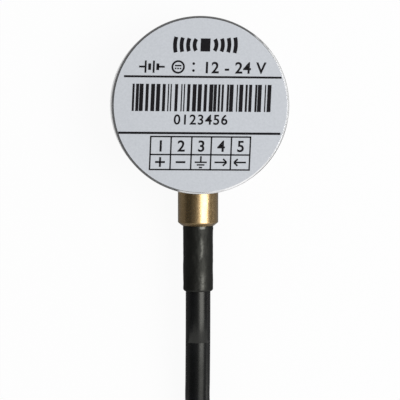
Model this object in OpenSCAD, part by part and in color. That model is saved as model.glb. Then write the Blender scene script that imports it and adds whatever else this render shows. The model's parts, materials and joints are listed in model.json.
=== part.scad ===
// External ultrasonic level sensor. A turned aluminium cup holds a piezo transducer and a round
// circuit board, and a brass ferrule in its side wall carries a five-core cable.
// The sensing face lies on z = 0, the labelled back faces up, and the cable leaves towards -Y.

/* [Housing] */
// Outside diameter of the housing
housing_d = 44; // [42:0.5:56]
// Height from the sensing face to the back
housing_h = 18; // [17.6:0.2:24]
// Thickness of the side wall
wall = 3; // [2.6:0.1:3.6]
// Thickness of the closed back
back_t = 2; // [1.6:0.1:2.4]
// Bright chamfer round the back
back_chamfer = 0.5; // [0.4:0.05:1]
// Chamfer round the sensing face
face_chamfer = 0.4; // [0.2:0.05:0.8]
// Thickness of the label on the back
label_t = 0.15; // [0.1:0.01:0.3]
// Bare metal left between the label and the chamfer
label_margin = 0.06; // [0.05:0.01:1]

/* [Transducer] */
// Thickness of the acoustic window
window_t = 2; // [1.5:0.1:2.4]
// Width of the metal rim round the window
window_rim = 2; // [1.6:0.1:2.4]
// Diameter of the piezo disc
piezo_d = 20; // [16:0.5:22]
// Thickness of the piezo disc
piezo_t = 2; // [1:0.1:2.4]
// Diameter of the backing disc
backing_d = 15; // [12:0.5:15.5]
// Thickness of the backing disc
backing_t = 3.4; // [2:0.1:3.8]
// Radial width of the rubber ring that centres the piezo disc
centring_w = 1.6; // [1:0.1:3]
// Height of the centring ring
centring_h = 3; // [2:0.1:3.4]
// Depth of the resin round the centring ring
potting_h = 3.4; // [2:0.1:3.8]
// Diameter of the two piezo lead wires
piezo_lead_d = 0.8; // [0.5:0.05:1]

/* [Circuit board] */
// Thickness of the circuit board
board_t = 1.6; // [1:0.1:1.6]
// Radial width of the housing ledge that the board seats on
ledge_w = 2; // [1.5:0.1:2.4]
// Depth of the pocket between the board and the closed back
pocket_h = 2; // [1.9:0.1:2.6]
// Wall of the spacer ring that holds the board against its ledge
spacer_wall = 1; // [0.8:0.1:1.2]
// Side of the square drive transformer
transformer_w = 7.4; // [6:0.2:8]
// Height of the drive transformer
transformer_h = 4; // [3:0.1:4.2]
// Side of the square buck inductor
inductor_w = 6; // [4:0.2:6.4]
// Height of the buck inductor
inductor_h = 2.8; // [2:0.1:3.6]
// Diameter of the bulk capacitor can
capacitor_d = 6.3; // [4:0.1:6.6]
// Height of the bulk capacitor
capacitor_h = 5.4; // [4:0.1:5.8]

/* [Cable entry] */
// Height of the cable axis above the sensing face
entry_z = 9; // [8.6:0.1:9.2]
// Outside diameter of the brass ferrule
ferrule_d = 10.2; // [9.8:0.1:11]
// Length of the ferrule outside its seat
ferrule_len = 8.6; // [6:0.1:12]
// Radial width of the cone at the ferrule's mouth
ferrule_nose_w = 1.05; // [0.6:0.05:1.1]
// Length of the cone at the ferrule's mouth
ferrule_nose_h = 0.85; // [0.5:0.05:1.5]
// Diameter of the ferrule's threaded spigot
spigot_d = 8; // [7.6:0.1:8.4]
// Thickness of the sealing washer under the ferrule
washer_t = 0.6; // [0.4:0.05:1]
// Wall of the heat-shrink sleeve
sleeve_wall = 0.65; // [0.4:0.05:0.8]
// Length of the heat-shrink sleeve
sleeve_len = 22.6; // [16:0.2:26]
// Length of the sleeve inside the ferrule
sleeve_seat = 6; // [4:0.1:7]

/* [Cable] */
// Outside diameter of the cable
cable_d = 6.3; // [5.8:0.1:6.5]
// Diameter of one insulated core
core_d = 1.4; // [1:0.05:1.5]
// Radius of the ring that the cores lie on
core_ring_r = 1.5; // [1.4:0.05:1.6]
// Free length of the cores at the stripped end
core_free_len = 36; // [28:1:38]
// Length of the tinned tip of each core
tip_len = 6; // [4:0.5:8]
// Diameter of the tinned tip
tip_d = 0.9; // [0.6:0.05:0.95]
// Radius of the innermost folds of the hank
fold_r = 19; // [17.5:0.1:20]
// Length of the straight runs of the hank
hank_run = 54; // [48:1:60]
// Layers of cable in the hank
hank_layers = 4; // [2:1:5]
// Thickness of the tie bands
tie_t = 0.85; // [0.6:0.05:1.2]
// Width of the tie bands
tie_w = 3.2; // [2:0.1:5]

/* [Hidden] */
$fn = 96;

// Fits
slip = 0.1;
seat_gap = 0.05;
thread_gap = 0.02;
part_gap = 0.4;

// Housing
housing_r = housing_d / 2;
cavity_r = housing_r - wall;
window_r = housing_r - window_rim;
pocket_r = cavity_r - ledge_w;
ledge_z = housing_h - back_t - pocket_h;
label_r = housing_r - back_chamfer - label_margin;

// Transducer
piezo_top = window_t + piezo_t;
centring_bore = piezo_d + 2 * seat_gap;
centring_r = centring_bore / 2 + centring_w;
piezo_lead_x = (piezo_d + backing_d) / 4;
piezo_foot_r = (piezo_d - backing_d) / 4 - seat_gap;

// Circuit board
board_r = cavity_r - 2 * slip;
board_z = ledge_z - board_t;
spacer_r = cavity_r - slip;
spacer_bore_r = spacer_r - spacer_wall;
hole_d = 0.9;
solder_h = 0.7;
solder_r = 0.75;
chip_inset = 7.5;
chip_x = pocket_r - chip_inset;
passive_pitch = 1.6;

// Cable entry: the ferrule's shoulder seats on a flat that is cut just deeper than the round wall
seat_d = ferrule_d + 2 * part_gap;
seat_y = -sqrt(housing_r ^ 2 - (seat_d / 2) ^ 2) + 0.15;
shoulder_y = seat_y - washer_t;
mouth_y = shoulder_y - ferrule_len;
spigot_end_y = -cavity_r;
sleeve_d = cable_d + 2 * sleeve_wall;
sleeve_bore_d = sleeve_d + 2 * seat_gap;
cable_bore_d = cable_d + 2 * seat_gap;
sleeve_y = mouth_y + sleeve_seat;
sleeve_round = sleeve_wall * 0.85;
notch_w = spigot_d + 1;
jacket_inside = 2;

// Cable route from the jacket's inner end to the hank
jacket_y = -cavity_r + jacket_inside;
lead_route = [
    [0, jacket_y, entry_z], [0, -30, entry_z], [0, -48, entry_z], [0, -54, 8.9], [0, -62, 8.4], [0, -70, 7.55],
    [0, -75, 6.95], [0.31, -79, 6.4], [1.22, -83, 5.9], [2.68, -87, 5.4], [4.58, -91, 4.95], [6.8, -95, 4.6],
    [9.2, -99, 4.35], [11.62, -103, 4.15], [13.9, -107, 4.05], [15.89, -111, 4], [17.46, -115, 4],
    [18.52, -119, 4], [19, -123.5, 4], [19, -126, 4]];
lead_sides = 12;
route_end = lead_route[len(lead_route) - 1];

// Hank: two columns of turns, lying on the tie bands
hank_columns = 2;
hank_z = tie_t;
hank_h = hank_layers * cable_d;
hank_in_r = fold_r - cable_d / 2;
hank_out_r = hank_in_r + hank_columns * cable_d;
hank_x = route_end[0] - hank_out_r + cable_d / 2;
near_fold_y = -146.5;
far_fold_y = near_fold_y - hank_run;
tail_turn = 20;
tail_len = 15;
turn_z = hank_z + cable_d / 2;
tail_start = [hank_x - fold_r * cos(tail_turn), far_fold_y + fold_r * sin(tail_turn), turn_z];
tail_end = tail_start + tail_len * [sin(tail_turn), cos(tail_turn), 0];
tie_head = [4.6, 5, 3.6];

// Cores, in the order of the wiring table: place round the bundle, then fan angle at the free end
core_turn = [162, -126, 90, -54, 18];
core_fan = [-12, -7, -2, 3, 8];
core_straight = 1.5;
core_steps = 10;
core_sides = 12;
// Rise of each inner core to the board: the higher a core lies, the sooner it turns up
riser_pitch = 1.85;
core_bend_r = min(1.4, board_z - entry_z - core_ring_r - 0.2);
function inner_x(i) = core_ring_r * cos(core_turn[i]);
function inner_z(i) = entry_z + core_ring_r * sin(core_turn[i]);
function riser_row(i) = core_turn[i] > 80 && core_turn[i] < 100 ? 0 : core_turn[i] > 0 ? 1 : 2;
function riser_y(i) = jacket_y + 3.2 + riser_row(i) * riser_pitch;

// Shared shapes

// Ring that stands on z = 0
module ring(r_out, r_in, h) {
    difference() {
        cylinder(r = r_out, h = h);
        translate([0, 0, -h]) cylinder(r = r_in, h = 3 * h);
    }
}

// Turns a shape that stands along +Z so that it lies along -Y from the given y, on the cable axis
module along_cable(y) {
    translate([0, y, entry_z]) rotate([90, 0, 0]) children();
}

// Half profile of a tube wall of radii r_in and r_out with a rounded outer corner at its far end
module rounded_wall(r_in, r_out, length, corner) {
    translate([r_in, 0]) square([r_out - r_in, length - corner]);
    translate([r_in, 0]) square([r_out - r_in - corner, length]);
    translate([r_out - corner, length - corner]) intersection() {
        circle(r = corner);
        square(corner);
    }
}

// Chip on the board: a moulded body with a row of legs on the sides given
module chip(size, legs, pitch, sides) {
    leg = [pitch * 0.5, 1, 0.2];
    translate([-size[0] / 2, -size[1] / 2, leg[2]]) cube(size);
    for (a = sides)
        rotate(a) for (k = [0 : legs - 1])
            translate([(k - (legs - 1) / 2) * pitch - leg[0] / 2, -size[1] / 2 - leg[1] * 0.8, 0]) {
                cube(leg);
                translate([0, leg[1] * 0.5, 0]) cube([leg[0], leg[1] * 0.5, leg[2] + size[2] / 2]);
            }
}

// Part with square sides and bevelled corners, standing on z = 0
module bevelled_block(w, h, bevel) {
    linear_extrude(h) polygon([
        for (a = [0 : 90 : 270], p = [[w / 2, w / 2 - bevel], [w / 2 - bevel, w / 2]])
            [p[0] * cos(a) - p[1] * sin(a), p[0] * sin(a) + p[1] * cos(a)]]);
}

// Hangs a part that stands on z = 0 under the board
module under_board(at) {
    translate([at[0], at[1], board_z]) mirror([0, 0, 1]) children();
}

// Place under the board at an angle, as far out as a part of this radius fits in the spacer
function rim_place(angle, part_r) = (spacer_bore_r - part_gap - part_r) * [cos(angle), sin(angle)];

// Sweep of a round tube along a route that never runs upright
function unit(v) = v / norm(v);
function heading(route, i) = unit(route[min(i + 1, len(route) - 1)] - route[max(i - 1, 0)]);
function tube_ring(route, i, r, sides) =
    let (t = heading(route, i), s = unit(cross(t, [0, 0, 1])), u = cross(s, t))
    [for (k = [0 : sides - 1]) route[i] + r * (cos(360 * k / sides) * s + sin(360 * k / sides) * u)];

module tube(route, d, sides) {
    rings = len(route);
    last = (rings - 1) * sides;
    points = [for (i = [0 : rings - 1]) each tube_ring(route, i, d / 2, sides)];
    skin = [for (i = [0 : rings - 2], k = [0 : sides - 1])
        let (a = i * sides + k, b = i * sides + (k + 1) % sides)
        each [[a, b, a + sides], [b, b + sides, a + sides]]];
    first_cap = [for (k = [sides - 1 : -1 : 0]) k];
    last_cap = [for (k = [0 : sides - 1]) last + k];
    polyhedron(points, concat(skin, [first_cap, last_cap]));
}

// Housing and label

module housing() {
    color("silver") difference() {
        rotate_extrude() polygon([
            [0, housing_h], [housing_r - back_chamfer, housing_h],
            [housing_r, housing_h - back_chamfer], [housing_r, face_chamfer],
            [housing_r - face_chamfer, 0], [window_r, 0], [window_r, window_t],
            [cavity_r, window_t], [cavity_r, ledge_z], [pocket_r, ledge_z],
            [pocket_r, housing_h - back_t], [0, housing_h - back_t]]);
        along_cable(0) cylinder(d = spigot_d + 2 * thread_gap, h = housing_d);
        along_cable(seat_y) cylinder(d = seat_d, h = housing_d);
    }
}

module label() {
    color("lightgray") translate([0, 0, housing_h]) cylinder(r = label_r, h = label_t);
}

// Transducer

module acoustic_window() {
    color("dimgray") cylinder(r = window_r - seat_gap, h = window_t);
}

module piezo_disc() {
    color("wheat") translate([0, 0, window_t]) cylinder(d = piezo_d, h = piezo_t);
}

module backing_disc() {
    color("saddlebrown") translate([0, 0, piezo_top]) cylinder(d = backing_d, h = backing_t);
}

module centring_ring() {
    color("black") translate([0, 0, window_t]) ring(centring_r, centring_bore / 2, centring_h);
}

module transducer_potting() {
    color("darkslategray") translate([0, 0, window_t])
        ring(spacer_bore_r - seat_gap, centring_r, potting_h);
}

module piezo_leads() {
    color("red") for (side = [-1, 1]) translate([side * piezo_lead_x, 0, piezo_top]) {
        cylinder(d = piezo_lead_d, h = board_z - piezo_top);
        cylinder(r1 = piezo_foot_r, r2 = piezo_lead_d / 2, h = solder_h);
    }
}

// Circuit board

module board_spacer() {
    color("ivory") difference() {
        translate([0, 0, window_t]) ring(spacer_r, spacer_bore_r, board_z - window_t);
        translate([-notch_w / 2, -housing_r, entry_z]) cube([notch_w, housing_r, housing_h]);
        along_cable(0) cylinder(d = notch_w, h = housing_r);
    }
}

module circuit_board() {
    color("green") translate([0, 0, board_z]) difference() {
        cylinder(r = board_r, h = board_t);
        for (p = joint_places()) translate([p[0], p[1], -board_t]) cylinder(d = hole_d, h = 3 * board_t);
    }
}

function joint_places() = concat(
    [for (i = [0 : len(core_turn) - 1]) [inner_x(i), riser_y(i)]],
    [for (side = [-1, 1]) [side * piezo_lead_x, 0]]);

module solder_joints() {
    color("lightgray") for (p = joint_places()) translate([p[0], p[1], board_z]) {
        cylinder(d = hole_d - 2 * seat_gap, h = board_t + solder_h);
        translate([0, 0, board_t]) cylinder(r1 = solder_r, r2 = hole_d / 2, h = solder_h);
    }
}

module microcontroller() {
    color("black") translate([0, 5, ledge_z]) chip([7, 7, 1.2], 8, 0.8, [0, 90, 180, 270]);
}

module line_transceiver() {
    color("black") translate([chip_x, -5.5, ledge_z]) chip([5, 3.9, 1.4], 4, 1.27, [0, 180]);
}

module voltage_regulator() {
    color("black") translate([-chip_x, -5.5, ledge_z]) rotate(90) chip([6.5, 3.5, 1.5], 3, 2.3, [0, 180]);
}

module crystal() {
    color("silver") translate([1 - chip_x, 4, ledge_z]) bevelled_block(3.2, 0.9, 0.4);
}

module chip_passives() {
    size = [0.8, 1.6, 0.5];
    color("tan") for (k = [-2.5 : 2.5], y = [-3.5, -6.3])
        translate([k * passive_pitch - size[0] / 2, y - size[1] / 2, ledge_z]) cube(size);
}

module drive_transformer() {
    color("dimgray") under_board([0, 5]) bevelled_block(transformer_w, transformer_h, 0.9);
}

module buck_inductor() {
    color("gray") under_board(rim_place(140, inductor_w * 0.65))
        bevelled_block(inductor_w, inductor_h, 1);
}

module bulk_capacitor() {
    base_h = 0.8;
    bead_r = 0.35;
    color("silver") under_board(rim_place(40, capacitor_d / 2)) difference() {
        cylinder(d = capacitor_d, h = capacitor_h);
        translate([0, 0, base_h]) rotate_extrude() translate([capacitor_d / 2, bead_r]) circle(r = bead_r);
    }
}

module surge_diode() {
    color("black") under_board(rim_place(-40, 3.2)) chip([4.4, 3.6, 2], 1, 2.2, [0, 180]);
}

// One core inside the housing, from the jacket's end up to its hole in the board
module inner_core(i) {
    run = riser_y(i) - core_bend_r - jacket_y;
    translate([inner_x(i), jacket_y, inner_z(i)]) {
        rotate([-90, 0, 0]) cylinder(d = core_d, h = run);
        translate([0, run, core_bend_r]) rotate([90, 0, 90]) rotate_extrude(angle = -90)
            translate([core_bend_r, 0]) rotate(180) circle(d = core_d);
        translate([0, run + core_bend_r, core_bend_r])
            cylinder(d = core_d, h = board_z - inner_z(i) - core_bend_r);
    }
}

// Cable entry

module cable_ferrule() {
    barrel_r = ferrule_d / 2;
    color("goldenrod") difference() {
        union() {
            along_cable(shoulder_y) rotate_extrude() polygon([
                [0, 0], [barrel_r, 0], [barrel_r, ferrule_len - ferrule_nose_h],
                [barrel_r - ferrule_nose_w, ferrule_len], [0, ferrule_len]]);
            along_cable(spigot_end_y) cylinder(d = spigot_d, h = spigot_end_y - shoulder_y);
        }
        along_cable(0) cylinder(d = cable_bore_d, h = housing_d);
        along_cable(sleeve_y) cylinder(d = sleeve_bore_d, h = housing_d);
    }
}

module seal_washer() {
    color("black") along_cable(seat_y)
        ring(ferrule_d / 2 - seat_gap, spigot_d / 2 + seat_gap, washer_t);
}

module shrink_sleeve() {
    color("black") along_cable(sleeve_y) rotate_extrude()
        rounded_wall(cable_d / 2, sleeve_d / 2, sleeve_len, sleeve_round);
}

// Cable

module cable_lead() {
    color("black") tube(lead_route, cable_d, lead_sides);
}

// Outline of a loop with two round ends, of the given half width
module loop_outline(r) {
    for (y = [near_fold_y, far_fold_y]) translate([hank_x, y]) circle(r = r);
    translate([hank_x - r, far_fold_y]) square([2 * r, hank_run]);
}

module cable_hank() {
    color("black") {
        translate([0, 0, hank_z]) linear_extrude(hank_h) difference() {
            loop_outline(hank_out_r);
            loop_outline(hank_in_r);
        }
        translate([route_end[0], near_fold_y, turn_z]) rotate([-90, 0, 0])
            cylinder(d = cable_d, h = route_end[1] - near_fold_y);
        translate(tail_start) rotate([-90, 0, -tail_turn]) cylinder(d = cable_d, h = tail_len);
    }
}

// One nylon tie round a side of the hank, with its head on the outside
module hank_tie(side) {
    bundle_w = hank_columns * cable_d + 2 * seat_gap;
    mid_x = hank_x + side * (hank_in_r + hank_out_r) / 2;
    mid_y = (near_fold_y + far_fold_y) / 2;
    translate([mid_x, mid_y - tie_w / 2, 0]) difference() {
        union() {
            translate([-bundle_w / 2 - tie_t, 0, 0]) cube([bundle_w + 2 * tie_t, tie_w, hank_h + 2 * tie_t]);
            translate([-tie_head[0] / 2, (tie_w - tie_head[1]) / 2, hank_z + hank_h]) cube(tie_head);
        }
        translate([-bundle_w / 2, -tie_w, hank_z]) cube([bundle_w, 3 * tie_w, hank_h]);
    }
}

module hank_ties() {
    color("whitesmoke") for (side = [-1, 1]) hank_tie(side);
}

// Route of a free core: straight out of the stripped end, then fanning out and down to the floor
function smooth(t) = t * t * (3 - 2 * t);
function core_point(i, t) =
    let (along = core_straight + t * (core_free_len - core_straight),
        aside = core_ring_r * cos(core_turn[i]) + tan(core_fan[i]) * core_free_len * t * t * (2 - t),
        start_z = turn_z + core_ring_r * sin(core_turn[i]),
        z = start_z + (core_d / 2 - start_z) * smooth(min(1, t / 0.7)))
    [tail_end[0] + along * sin(tail_turn) + aside * cos(tail_turn),
        tail_end[1] + along * cos(tail_turn) - aside * sin(tail_turn), z];
function core_start(i) =
    core_point(i, 0) - core_straight * [sin(tail_turn), cos(tail_turn), 0];
function core_route(i) =
    concat([core_start(i)], [for (k = [0 : core_steps]) core_point(i, k / core_steps)]);

module free_core(i) {
    tube(core_route(i), core_d, core_sides);
}

module tinned_ends() {
    color("lightgray") for (i = [0 : len(core_turn) - 1]) {
        route = core_route(i);
        end = len(route) - 1;
        way = heading(route, end);
        translate(route[end]) rotate([0, 90, atan2(way[1], way[0])]) cylinder(d = tip_d, h = tip_len);
    }
}

housing();
label();
acoustic_window();
piezo_disc();
backing_disc();
centring_ring();
transducer_potting();
board_spacer();
circuit_board();
microcontroller();
line_transceiver();
voltage_regulator();
crystal();
chip_passives();
drive_transformer();
buck_inductor();
bulk_capacitor();
surge_diode();
piezo_leads();
solder_joints();
color("red") inner_core(0);  // red_inner_core
color("black") inner_core(1);  // black_inner_core
color("saddlebrown") inner_core(2);  // brown_inner_core
color("yellow") inner_core(3);  // yellow_inner_core
color("blue") inner_core(4);  // blue_inner_core
cable_ferrule();
seal_washer();
shrink_sleeve();
cable_lead();
cable_hank();
hank_ties();
color("red") free_core(0);  // red_core
color("black") free_core(1);  // black_core
color("saddlebrown") free_core(2);  // brown_core
color("yellow") free_core(3);  // yellow_core
color("blue") free_core(4);  // blue_core
tinned_ends();
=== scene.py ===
# %% [markdown]
# # Ultrasonic level sensor
# This script dresses the CAD model of a stick-on level sensor. The rigid pieces come from the CAD
# frame and only get finishes and finely broken edges. What machining can't describe is built here: the
# label's print, the shrunk sleeve, the cable with its cores, and the ties. All of these but the print
# stand over CAD solids that they replace.

# %% Load the frame
import json
import math

import bpy
from mathutils import Matrix, Vector, noise


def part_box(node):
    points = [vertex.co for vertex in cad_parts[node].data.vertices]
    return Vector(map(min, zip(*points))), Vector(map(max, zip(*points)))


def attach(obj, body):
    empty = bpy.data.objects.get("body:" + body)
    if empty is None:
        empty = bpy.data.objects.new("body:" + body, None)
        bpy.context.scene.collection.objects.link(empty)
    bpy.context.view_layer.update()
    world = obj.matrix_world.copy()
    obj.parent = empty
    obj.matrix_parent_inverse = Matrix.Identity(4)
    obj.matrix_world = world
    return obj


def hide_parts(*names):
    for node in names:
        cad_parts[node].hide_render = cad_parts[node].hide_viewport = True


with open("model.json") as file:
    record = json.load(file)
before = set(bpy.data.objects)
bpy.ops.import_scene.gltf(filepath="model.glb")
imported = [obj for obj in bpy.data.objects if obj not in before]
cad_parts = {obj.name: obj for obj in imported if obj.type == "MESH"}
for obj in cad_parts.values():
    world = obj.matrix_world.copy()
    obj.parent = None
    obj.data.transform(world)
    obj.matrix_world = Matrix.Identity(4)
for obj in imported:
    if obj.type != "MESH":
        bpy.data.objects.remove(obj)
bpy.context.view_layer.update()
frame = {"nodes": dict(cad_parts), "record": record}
MM = 0.001
print("nodes", len(frame["nodes"]))

# %% [markdown]
# Every colour is written as the sRGB hex value that a colour picker shows, and one function turns it
# into the linear values that Cycles works in. One more function adds a shader node with its settings
# and links, so that each material below reads as a list of what it is made of.

# %% Colour and node helpers
def linear(hex_colour):
    channels = [int(hex_colour[i:i + 2], 16) / 255 for i in (1, 3, 5)]
    return tuple(c / 12.92 if c <= 0.04045 else ((c + 0.055) / 1.055) ** 2.4 for c in channels) + (1.0,)


def add(tree, kind, inputs=None, **settings):
    node = tree.nodes.new(kind)
    for key, value in settings.items():
        setattr(node, key, value)
    for socket, value in (inputs or {}).items():
        if isinstance(value, bpy.types.NodeSocket):
            tree.links.new(value, node.inputs[socket])
        else:
            node.inputs[socket].default_value = value
    return node


def new_material(name):
    material = bpy.data.materials.new(name)
    material.use_nodes = True
    tree = material.node_tree
    tree.nodes.clear()
    return material, tree


def per_mm(size_mm):
    """A pattern's scale, in repeats per metre, from the size of one repeat in mm."""
    return 1000 / size_mm


print("label grey", [round(c, 3) for c in linear("#C8CCD2")])

# %% [markdown]
# The photograph is a product shot from above, with a longish lens. The ferrule lies lower than the
# label, and it sits a little left of the disc's centre in the picture. That comes from a camera that
# stands to the left of the disc, so the camera is placed there and turned to the middle of the frame.

# %% Camera
LABEL_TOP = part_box("label")[1][2]
PIXEL = 0.24715 * MM  # what one pixel of the picture covers at the label
FRAME_PIXELS = 400
SENSOR_W = 36.0
aim = Vector((-0.21 * MM, -23.33 * MM, LABEL_TOP))
stand = Vector((-31 * MM, 2 * MM, LABEL_TOP + 400 * MM))
camera_data = bpy.data.cameras.new("product_camera")
camera_data.sensor_width = SENSOR_W
camera_data.lens = SENSOR_W * (stand - aim).length / (FRAME_PIXELS * PIXEL)
camera_data.clip_start = 0.01
camera = bpy.data.objects.new("product_camera", camera_data)
back = (stand - aim).normalized()
right = Vector((0.0, 1.0, 0.0)).cross(back).normalized()
facing_aim = Matrix((right, back.cross(right), back)).transposed().to_4x4()
camera.matrix_world = Matrix.Translation(stand) @ facing_aim
bpy.context.scene.collection.objects.link(camera)
bpy.context.scene.camera = camera
bpy.context.scene.view_settings.view_transform = "Standard"
print("lens", round(camera_data.lens, 1), "mm")

# %% [markdown]
# The cable comes next, because it decides how much floor the model covers. It runs straight out of
# the sleeve, settles towards the floor just outside the picture, and is folded into a hank in line
# with the sensor. The hank has an outer column of turns that climbs and an inner column that comes
# down again, so the stripped end lies on the floor inside it. These are the CAD model's own points.

# %% Cable route
CABLE_D = 6.3
LEAD = [
    (0, -17, 9), (0, -30, 9), (0, -48, 9), (0, -54, 8.9), (0, -62, 8.4), (0, -70, 7.55),
    (0, -75, 6.95), (0.31, -79, 6.4), (1.22, -83, 5.9), (2.68, -87, 5.4), (4.58, -91, 4.95), (6.8, -95, 4.6),
    (9.2, -99, 4.35), (11.62, -103, 4.15), (13.9, -107, 4.05), (15.89, -111, 4), (17.46, -115, 4),
    (18.52, -119, 4), (19, -123.5, 4), (19, -126, 4)]
LEAD_X = LEAD[-1][0]
RUN_IN_Y = (-132, -139)
LAYERS = 4
FOLD_R = 19.0
HANK_X = LEAD_X - FOLD_R - CABLE_D
NEAR_Y, FAR_Y = -146.5, -200.5
FIRST_Z = 4.0
TAIL_TURN = math.radians(20)
TAIL_LEN = 15.0
RUN_STEPS = 6
FOLD_STEPS = 12


def ease(t):
    return t * t * (3 - 2 * t)


def settle(angle):
    """How far a change is made by an angle of a fold: it is over at three quarters of the way."""
    return ease(min(1.0, angle / (0.75 * math.pi)))


def far_fold(radius, z):
    angles = [math.pi * k / FOLD_STEPS for k in range(FOLD_STEPS)]
    return [(HANK_X + radius * math.cos(a), FAR_Y - radius * math.sin(a), z) for a in angles]


def near_fold(radius, z, climb=0.0, inward=0.0):
    """The fold back to the right run, which may climb a layer or roll over into the inner column."""
    points = []
    for k in range(FOLD_STEPS):
        a = math.pi * k / FOLD_STEPS
        roll = math.pi / 2 * settle(a)
        r = radius - inward * math.sin(roll)
        lift = climb * settle(a) + inward * (settle(a) + math.cos(roll) - 1)
        points.append((HANK_X - r * math.cos(a), NEAR_Y + r * math.sin(a), z + lift))
    return points


def right_run(radius, z):
    return [(HANK_X + radius, NEAR_Y + (FAR_Y - NEAR_Y) * k / RUN_STEPS, z) for k in range(RUN_STEPS)]


def left_run(radius, z, drop=0.0):
    """The run back to the near end, which may come down a layer in its second half."""
    return [(HANK_X - radius, FAR_Y + (NEAR_Y - FAR_Y) * k / RUN_STEPS,
             z - drop * ease(max(0.0, 2 * k / RUN_STEPS - 1))) for k in range(RUN_STEPS)]


def cable_path():
    inner, outer = FOLD_R, FOLD_R + CABLE_D
    height = [FIRST_Z + CABLE_D * k for k in range(LAYERS)]
    points = LEAD + [(LEAD_X, y, FIRST_Z) for y in RUN_IN_Y]
    for k in range(LAYERS):
        top = k == LAYERS - 1
        points += right_run(outer, height[k]) + far_fold(outer, height[k]) + left_run(outer, height[k])
        points += near_fold(outer, height[k], 0.0 if top else CABLE_D, CABLE_D if top else 0.0)
    for k in reversed(range(LAYERS)):
        points += right_run(inner, height[k]) + far_fold(inner, height[k])
        if k:
            points += left_run(inner, height[k], CABLE_D) + near_fold(inner, height[k - 1])
    for a in (0.0, TAIL_TURN / 2, TAIL_TURN):
        points.append((HANK_X - inner * math.cos(a), FAR_Y + inner * math.sin(a), FIRST_Z))
    x, y, z = points[-1]
    for along in (TAIL_LEN / 2, TAIL_LEN):
        points.append((x + along * math.sin(TAIL_TURN), y + along * math.cos(TAIL_TURN), z))
    return points


route = cable_path()
print("cable route points", len(route), "end", [round(c, 1) for c in route[-1]])

# %% [markdown]
# A Bezier curve with automatic handles through those points and a round bevel makes the jacket. It is
# one open spline, so the frame can measure its length. The stripped end is cut square. The bevel is
# 1 m deep and each point's radius scales it, because Blender adds that radius to a curve's bounds.

# %% Cable and cores
def bezier(name, points, diameter, sides=6, smooth=8):
    curve = bpy.data.curves.new(name, "CURVE")
    curve.dimensions = "3D"
    curve.resolution_u = smooth
    curve.bevel_depth = 1.0
    curve.bevel_resolution = sides
    curve.use_fill_caps = True
    spline = curve.splines.new("BEZIER")
    spline.bezier_points.add(len(points) - 1)
    for knot, point in zip(spline.bezier_points, points):
        knot.co = Vector(point) * MM
        knot.radius = diameter / 2 * MM
        knot.handle_left_type = knot.handle_right_type = "AUTO"
    piece = bpy.data.objects.new(name, curve)
    bpy.context.scene.collection.objects.link(piece)
    return piece


cable = bezier("cable", route, CABLE_D)
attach(cable, "root")
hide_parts("cable_lead", "cable_hank")

CORE_D = 1.4
CORE_RING = 1.5
CORE_LEN = 36.0
CORE_STRAIGHT = 1.5
CORE_DOWN_BY = 0.7  # share of a core's length at which it lies on the floor
CORE_NAMES = ["red", "black", "brown", "yellow", "blue"]
CORE_PLACE = [162, -126, 90, -54, 18]
CORE_FAN = [-12, -7, -2, 3, 8]
CORE_STEPS = 10


def core_points(i):
    """The same fan as in the CAD model: straight out of the jacket, then apart and down to the floor."""
    ex, ey, ez = route[-1]
    place = math.radians(CORE_PLACE[i])
    start_z = ez + CORE_RING * math.sin(place)
    points = []
    for k in range(-1, CORE_STEPS + 1):
        t = max(k, 0) / CORE_STEPS
        along = 0.0 if k < 0 else CORE_STRAIGHT + t * (CORE_LEN - CORE_STRAIGHT)
        aside = CORE_RING * math.cos(place) + math.tan(math.radians(CORE_FAN[i])) * CORE_LEN * t * t * (2 - t)
        z = start_z + (CORE_D / 2 - start_z) * ease(min(1.0, t / CORE_DOWN_BY))
        points.append((ex + along * math.sin(TAIL_TURN) + aside * math.cos(TAIL_TURN),
                       ey + along * math.cos(TAIL_TURN) - aside * math.sin(TAIL_TURN), z))
    return points


cores = []
for index, name in enumerate(CORE_NAMES):
    core = bezier(name + "_lead", core_points(index), CORE_D, sides=3, smooth=6)
    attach(core, "root")
    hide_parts(name + "_core")
    cores.append(core)
print("cores", [core.name for core in cores])

# %% [markdown]
# Each core ends in a tip of twisted, tinned strands. Seven strands of 0.3 mm, six of them wound round
# the middle one, are enough to read as stranded wire. They are splines of one curve, laid along the
# last direction of each core.

# %% Tinned tips
TIP_LEN = 6.0
STRAND_D = 0.3
TWIST_PITCH = 5.0
OUTER_STRANDS = 6
STRAND_STEPS = 10
tips_curve = bpy.data.curves.new("tinned_tips", "CURVE")
tips_curve.dimensions = "3D"
tips_curve.bevel_depth = 1.0
tips_curve.bevel_resolution = 2
tips_curve.use_fill_caps = True
for index in range(len(CORE_NAMES)):
    before, end = [Vector(p) for p in core_points(index)[-2:]]
    way = (end - before).normalized()
    side = way.cross(Vector((0, 0, 1))).normalized()
    up = side.cross(way)
    for strand in range(OUTER_STRANDS + 1):
        spline = tips_curve.splines.new("POLY")
        spline.points.add(STRAND_STEPS)
        off = STRAND_D if strand < OUTER_STRANDS else 0.0
        for k in range(STRAND_STEPS + 1):
            along = TIP_LEN * k / STRAND_STEPS
            turn = 2 * math.pi * (strand / OUTER_STRANDS + along / TWIST_PITCH)
            place = end + way * along + off * (math.cos(turn) * side + math.sin(turn) * up)
            spline.points[k].co = (*(place * MM), 1.0)
            spline.points[k].radius = STRAND_D / 2 * MM
tips = bpy.data.objects.new("tinned_tips", tips_curve)
bpy.context.scene.collection.objects.link(tips)
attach(tips, "root")
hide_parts("tinned_ends")
print("strands", len(tips_curve.splines))

# %% [markdown]
# Two nylon ties hold the hank. A tie is a thin strap that hugs the bundle with rounded corners, with
# a square locking head and the cut stub of its tail. The strap is a loop of cross-sections joined by
# faces, and the head is a block with a slot, both with bevelled edges.

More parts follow.
